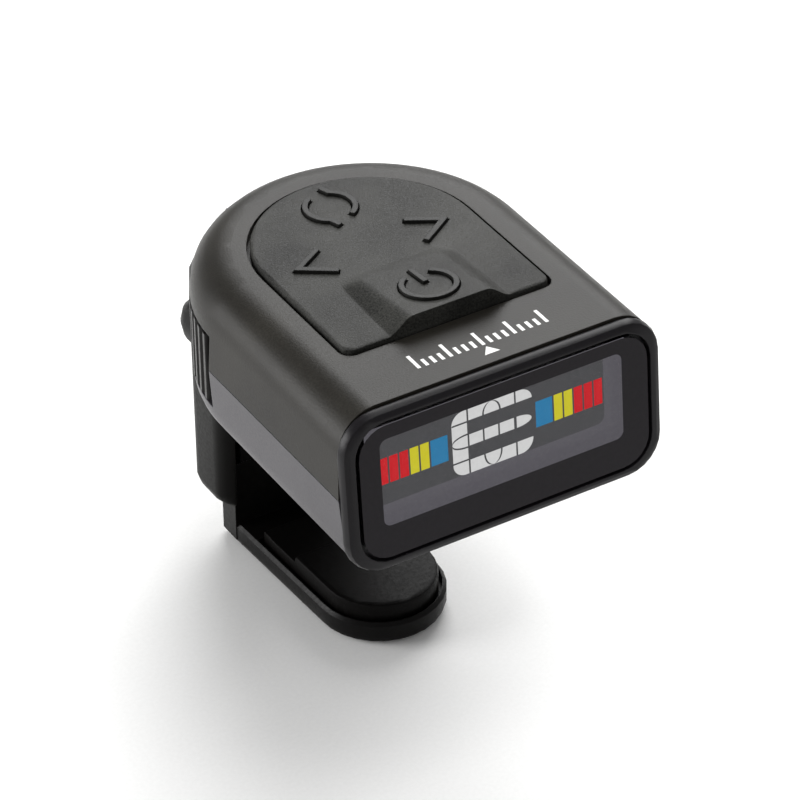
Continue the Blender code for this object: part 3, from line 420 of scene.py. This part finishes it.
# %% Active field and tuning bars
FIELD = (-12.3, -1.84, 10.5, 4.75)
FIELD_ROUNDS = (0, 0.8, 0, 0)
FIELD_BACK, FIELD_FRONT = -0.93, -0.915
SEGMENT_BACK, SEGMENT_FRONT = -0.905, -0.885
BAR_LOW, BAR_HIGH = 0.18, 2.75
BAR_WIDTH, BAR_PITCH = 0.84, 1.02
WIDE_BAR = 1.68
BAR_STARTS = {"left": -12.08, "right": 3.54}
bm = bmesh.new()
plate(bm, round_rectangle(*FIELD, FIELD_ROUNDS), FIELD_BACK, FIELD_FRONT)
put("lcd_active_field", bm, DISPLAY, lcd_field)


def row_of_bars(name, x, colours):
    """A row of bars from left to right, each a piece of its own, parted by equal gaps."""
    for i, colour in enumerate(colours):
        width = WIDE_BAR if colour == "blue" else BAR_WIDTH
        bm = bmesh.new()
        outline = [(x, BAR_LOW), (x + width, BAR_LOW), (x + width, BAR_HIGH), (x, BAR_HIGH)]
        plate(bm, outline, SEGMENT_BACK, SEGMENT_FRONT)
        put(f"{name}_bar_{i}_{colour}", bm, DISPLAY, segment_inks[colour])
        x += width + BAR_PITCH - BAR_WIDTH


BAR_COLOURS = ["red", "red", "red", "yellow", "yellow", "blue"]
row_of_bars("flat", BAR_STARTS["left"], BAR_COLOURS)
row_of_bars("sharp", BAR_STARTS["right"], BAR_COLOURS[::-1])
print("bars:", 2 * len(BAR_COLOURS))

# %% [markdown]
# The note figure is a starburst of segments, like any alphanumeric display: three arms and a
# spine, parted by dark gaps. Arches and a leaf shape mark the segments that cross.

# %% Note figure
ARM_LEFT, ARM_RIGHT = -4.85, 3.2
LEFT_SPLIT, RIGHT_SPLIT = -3.24, 1.52
ARCH_LEFT, ARCH_RIGHT = -1.7, 0.0
MIDDLE_SPLITS = (LEFT_SPLIT, -1.72, -0.18, 1.42)
GAP = 0.09
ROUND = 1.2
LEAF_SHORT_BY = 0.1
CURVE_STEPS = 8
TOP_ARM, MIDDLE_ARM, BOTTOM_ARM = (4.5, 3.4), (0.88, 1.98), (-1.84, -0.55)


TURNS = [math.pi / 2 * i / CURVE_STEPS for i in range(CURVE_STEPS + 1)]


def quarter(start, end):
    """A quarter of an ellipse that leaves start along y and reaches end along x."""
    (x0, y0), (x1, y1) = start, end
    return [(x1 + (x0 - x1) * math.cos(a), y0 + (y1 - y0) * math.sin(a)) for a in TURNS]


def shifted(points, dx, dy=0.0):
    """The same points, moved."""
    return [(x + dx, y + dy) for x, y in points]


def arm_cells(outer, inner):
    """The five segments of the top or the bottom arm, from its outer to its inner edge."""
    tip = ((ARCH_LEFT + ARCH_RIGHT) / 2, outer)
    left_side, right_side = quarter((ARCH_LEFT, inner), tip), quarter((ARCH_RIGHT, inner), tip)
    toward = math.copysign(ROUND, inner - outer)
    end_left = quarter((ARM_LEFT, outer + toward), (ARM_LEFT + ROUND, outer))
    end_right = quarter((ARM_RIGHT, inner), (ARM_RIGHT - ROUND, outer))
    return [
        [(ARM_LEFT, inner), *end_left, (LEFT_SPLIT - GAP, outer), (LEFT_SPLIT - GAP, inner)],
        [(LEFT_SPLIT + GAP, inner), (LEFT_SPLIT + GAP, outer), *shifted(left_side, -GAP)[::-1]],
        shifted(left_side, GAP)[:-1] + [tip] + shifted(right_side, -GAP)[:-1][::-1],
        [(RIGHT_SPLIT - GAP, inner), (RIGHT_SPLIT - GAP, outer), *shifted(right_side, GAP)[::-1]],
        [(RIGHT_SPLIT + GAP, inner), (RIGHT_SPLIT + GAP, outer), *end_right[::-1]],
    ]


def leaf(x_flat, x_tip):
    """A leaf-shaped segment of the middle arm, flat at one end and pointed at the other."""
    low_y, high_y = MIDDLE_ARM
    middle = (low_y + high_y) / 2
    long, tall = x_tip - x_flat, high_y - middle
    upper = [(x_flat + long * math.sin(a), middle + tall * math.cos(a)) for a in TURNS]
    return upper + [(x, 2 * middle - y) for x, y in reversed(upper[:-1])]


bm = bmesh.new()
outlines = arm_cells(*TOP_ARM) + arm_cells(*BOTTOM_ARM)
for a, b in zip(MIDDLE_SPLITS, MIDDLE_SPLITS[1:]):
    x0, x1, (y0, y1) = a + GAP, b - GAP, MIDDLE_ARM
    outlines.append([(x0, y0), (x1, y0), (x1, y1), (x0, y1)])
outlines.append(leaf(RIGHT_SPLIT + GAP, ARM_RIGHT - LEAF_SHORT_BY))
crossing = leaf(LEFT_SPLIT - GAP, ARM_LEFT)
outlines.append(crossing)
upper_side = shifted(crossing[: CURVE_STEPS + 1], 0, 2 * GAP)
lower_side = shifted(crossing[CURVE_STEPS:], 0, -2 * GAP)
spine_top, spine_foot = TOP_ARM[1] - 2 * GAP, BOTTOM_ARM[1] + 2 * GAP
outlines.append([*upper_side, (ARM_LEFT, spine_top), (LEFT_SPLIT - GAP, spine_top)])
outlines.append([*lower_side, (LEFT_SPLIT - GAP, spine_foot), (ARM_LEFT, spine_foot)])
for outline in outlines:
    plate(bm, outline, SEGMENT_BACK, SEGMENT_FRONT)
put("note_figure", bm, DISPLAY, segment_inks["grey"])
print("note figure drawn")

# %% [markdown]
# A white pad print crosses the lid in front of the keypad. A pad print is an ink film about
# 0.01 mm thick. Here it is a plain tuning scale: ticks that grow towards a middle pointer.

# %% Scale on the lid
PRINT_Y, PRINT_LONG, PRINT_SHORT = -18.5, 2.0, 1.0
TICK_COUNT, TICK_WIDTH, SCALE_HALF = 17, 0.32, 6.4
SCALE_SHIFT = 0.4
LONG_TICK_EVERY = 4
POINTER_HALF, POINTER_TIP, POINTER_BASE = 0.75, 0.3, 1.35  # the last two lie below the ticks
INK_LIFT, INK_FILM = 0.002, 0.015
lid_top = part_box("top_shell")[1][2] / MM
bm = bmesh.new()
for i in range(TICK_COUNT):
    x = SCALE_SHIFT - SCALE_HALF + 2 * SCALE_HALF * i / (TICK_COUNT - 1)
    end = PRINT_Y + (PRINT_SHORT if i % LONG_TICK_EVERY else PRINT_LONG)
    x0, x1 = x - TICK_WIDTH / 2, x + TICK_WIDTH / 2
    plate(bm, [(x0, PRINT_Y), (x1, PRINT_Y), (x1, end), (x0, end)], lid_top + INK_LIFT, lid_top + INK_FILM)
base_y = PRINT_Y - POINTER_BASE
pointer = [(SCALE_SHIFT - POINTER_HALF, base_y), (SCALE_SHIFT + POINTER_HALF, base_y)]
pointer.append((SCALE_SHIFT, PRINT_Y - POINTER_TIP))
plate(bm, pointer, lid_top + INK_LIFT, lid_top + INK_FILM)
put("lid_scale_print", bm, Matrix.Identity(4), scale_ink)
print("ticks:", TICK_COUNT)

# %% [markdown]
# The set is a studio table: a pale sweep, a white surround, and large soft lamps. A broad
# lamp behind and to the right draws the sheen over the lid, and a low one on the left
# lights the side, as the pale table does in a product set.

# %% Floor, world and lamps
FLOOR_HALF = 2.0
FLOOR_GAP = 0.2 * MM
bm = bmesh.new()
bmesh.ops.create_grid(bm, x_segments=1, y_segments=1, size=FLOOR_HALF)
floor_mesh = bpy.data.meshes.new("studio_floor")
bm.to_mesh(floor_mesh)
bm.free()
floor_mesh.materials.append(screen_ink("matt_white_table", "#f4f4f3", "#f8f8f7", 0.8))
floor = bpy.data.objects.new("studio_floor", floor_mesh)
floor.location.z = cad_box[0][2] - FLOOR_GAP
bpy.context.scene.collection.objects.link(floor)

WORLD_STRENGTH = 0.45
world = bpy.data.worlds.new("white_studio")
bpy.context.scene.world = world
bpy.context.scene.view_settings.view_transform = "Standard"
world.use_nodes = True
background = world.node_tree.nodes["Background"]
background.inputs["Color"].default_value = linear("#ffffff")
background.inputs["Strength"].default_value = WORLD_STRENGTH


LAMP_AIM = Vector((0, -0.004, 0.03))


def lamp(name, azimuth, elevation, distance, size, watts):
    """A square soft lamp aimed at the object; azimuth counts from the display's side."""
    a, e = math.radians(azimuth), math.radians(elevation)
    way = Vector((math.sin(a) * math.cos(e), -math.cos(a) * math.cos(e), math.sin(e)))
    light = bpy.data.lights.new(name, "AREA")
    light.size, light.energy = size, watts
    obj = bpy.data.objects.new(name, light)
    obj.location = LAMP_AIM + way * distance
    obj.rotation_euler = way.to_track_quat("Z", "Y").to_euler()
    bpy.context.scene.collection.objects.link(obj)


lamp("back_softbox", 143, 36, 0.5, 0.34, 2.1)
lamp("top_softbox", 60, 75, 0.5, 0.3, 1.0)
lamp("left_low_panel", -120, 12, 0.4, 0.2, 1.3)
print("lamps:", len(bpy.data.lights))

# %% [markdown]
# The camera is a long lens from the front left, well above the lid. It is placed by its
# direction and distance, and rolled a little, so that the case fills the frame.

# %% Camera
AZIMUTH, ELEVATION, ROLL = math.radians(30.99), math.radians(35.962), math.radians(-0.637)
DISTANCE, FOCAL_LENGTH, SENSOR = 0.3396, 185.35, 36.0
TARGET = Vector((-0.010974, -0.0235, 0.041267))
side = math.cos(ELEVATION)
way = Vector((-math.sin(AZIMUTH) * side, -math.cos(AZIMUTH) * side, math.sin(ELEVATION)))
right = (-way).cross(Vector((0, 0, 1))).normalized()
up = right.cross(-way)
tilted_right = math.cos(ROLL) * right + math.sin(ROLL) * up
tilted_up = math.cos(ROLL) * up - math.sin(ROLL) * right
camera_data = bpy.data.cameras.new("product_camera")
camera_data.lens, camera_data.sensor_width = FOCAL_LENGTH, SENSOR
camera_data.clip_start = 0.01
camera = bpy.data.objects.new("product_camera", camera_data)
turn = Matrix((tilted_right, tilted_up, way)).transposed()
camera.matrix_world = Matrix.Translation(TARGET + way * DISTANCE) @ turn.to_4x4()
bpy.context.scene.collection.objects.link(camera)
bpy.context.scene.camera = camera
print("camera at", [round(c, 4) for c in camera.matrix_world.translation])
